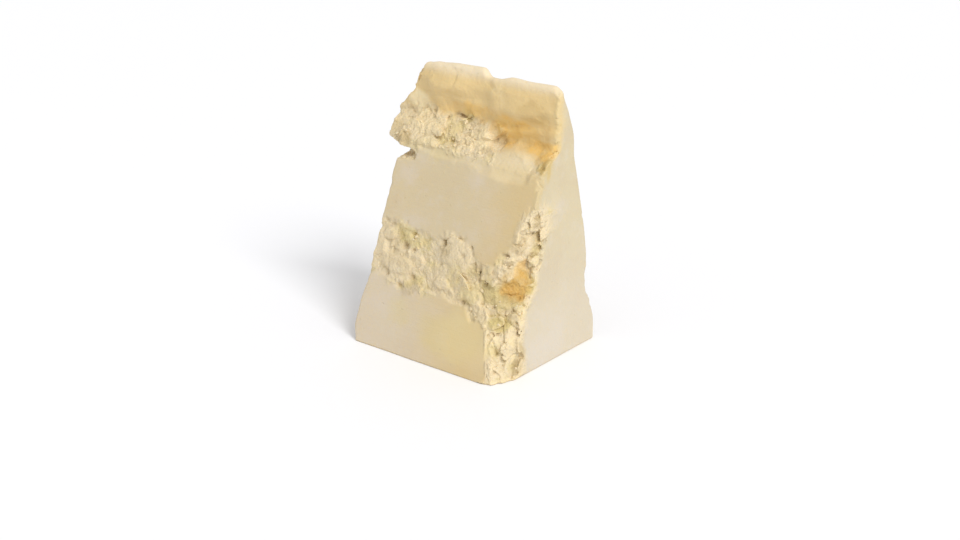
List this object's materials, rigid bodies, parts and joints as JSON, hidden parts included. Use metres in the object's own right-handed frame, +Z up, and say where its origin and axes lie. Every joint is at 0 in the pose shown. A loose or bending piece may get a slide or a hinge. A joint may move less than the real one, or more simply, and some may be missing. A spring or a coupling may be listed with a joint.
{
  "type": "cheese wedge",
  "caption": "Tall wedge of pale hard grating cheese standing on its rind side, with a chunk levered off below the tip, a torn band and a crumbled front corner.",
  "frame": {"origin": "middle of the flat base, on the surface it stands on", "axes": "+Z up, from the rind side to the wedge's tip; +X across the wheel, towards the flat side that shows on the right; -Y towards the large cut face with the torn band"},
  "size_m": [0.0942, 0.0744, 0.1329],
  "materials": {
    "paste": "pale straw cheese paste, matte with a faint waxy sheen, cut smooth in places and broken granular in others"
  },
  "bodies": {
    "root": {"cheese_wedge": "paste"}
  },
  "joints": []
}
